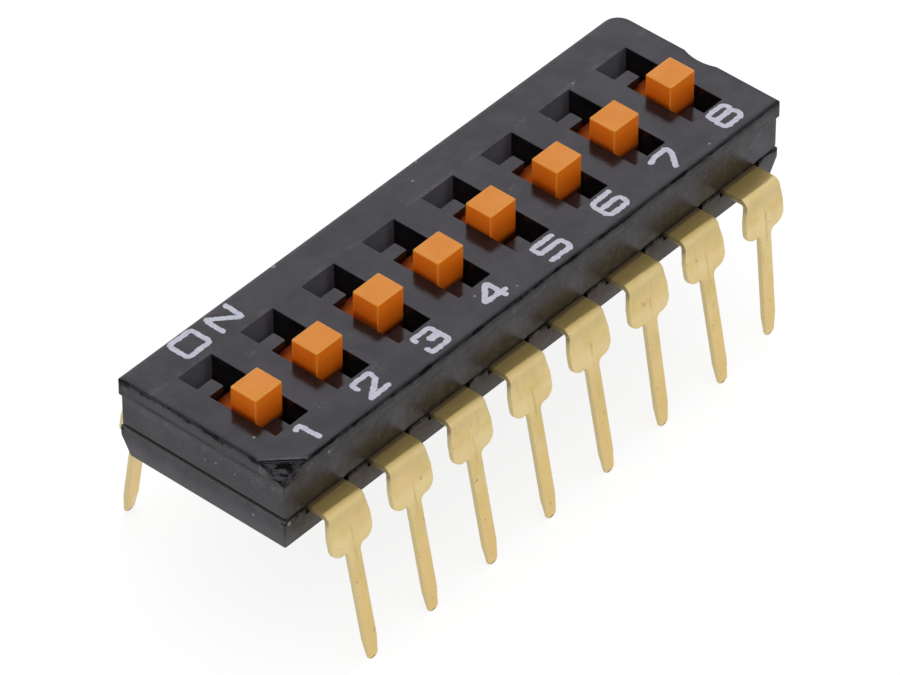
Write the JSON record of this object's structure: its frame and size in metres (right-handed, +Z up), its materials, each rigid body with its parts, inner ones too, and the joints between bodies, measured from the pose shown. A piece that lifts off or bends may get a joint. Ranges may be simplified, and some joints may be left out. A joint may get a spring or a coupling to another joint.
{
  "type": "dip switch",
  "caption": "Slide DIP switch for a through-hole board: a dark housing with a row of raised orange knobs in numbered slots and gold leads along both long sides.",
  "frame": {"origin": "middle of the housing's underside, where it meets the board", "axes": "+X along the row of poles from pole 1 to pole 8, +Y towards ON, +Z up out of the board"},
  "size_m": [0.0212, 0.0093, 0.0077],
  "materials": {
    "housing": "satin",
    "slider": "satin",
    "lead": "satin gold plate",
    "spring": "satin gold plate"
  },
  "bodies": {
    "housing": {"base": "housing", "cover": "housing", "terminal_1": "lead", "terminal_2": "lead", "terminal_3": "lead", "terminal_4": "lead", "terminal_5": "lead", "terminal_6": "lead", "terminal_7": "lead", "terminal_8": "lead", "terminal_9": "lead", "terminal_10": "lead", "terminal_11": "lead", "terminal_12": "lead", "terminal_13": "lead", "terminal_14": "lead", "terminal_15": "lead", "terminal_16": "lead"},
    "pole_1": {"slider_1": "slider", "moving_contact_1": "spring"},
    "pole_2": {"slider_2": "slider", "moving_contact_2": "spring"},
    "pole_3": {"slider_3": "slider", "moving_contact_3": "spring"},
    "pole_4": {"slider_4": "slider", "moving_contact_4": "spring"},
    "pole_5": {"slider_5": "slider", "moving_contact_5": "spring"},
    "pole_6": {"slider_6": "slider", "moving_contact_6": "spring"},
    "pole_7": {"slider_7": "slider", "moving_contact_7": "spring"},
    "pole_8": {"slider_8": "slider", "moving_contact_8": "spring"}
  },
  "joints": [
    {"name": "slide_1", "type": "slide", "parent": "housing", "child": "pole_1", "axis": [0, 1, 0], "range_m": [0, 0.000625]},
    {"name": "slide_2", "type": "slide", "parent": "housing", "child": "pole_2", "axis": [0, 1, 0], "range_m": [-0.00004, 0.000585]},
    {"name": "slide_3", "type": "slide", "parent": "housing", "child": "pole_3", "axis": [0, 1, 0], "range_m": [-0.00011, 0.000515]},
    {"name": "slide_4", "type": "slide", "parent": "housing", "child": "pole_4", "axis": [0, 1, 0], "range_m": [-0.00003, 0.000595]},
    {"name": "slide_5", "type": "slide", "parent": "housing", "child": "pole_5", "axis": [0, 1, 0], "range_m": [-0.00023, 0.000395]},
    {"name": "slide_6", "type": "slide", "parent": "housing", "child": "pole_6", "axis": [0, 1, 0], "range_m": [-0.00009, 0.000535]},
    {"name": "slide_7", "type": "slide", "parent": "housing", "child": "pole_7", "axis": [0, 1, 0], "range_m": [-0.00004, 0.000585]},
    {"name": "slide_8", "type": "slide", "parent": "housing", "child": "pole_8", "axis": [0, 1, 0], "range_m": [-0.00008, 0.000545]}
  ]
}
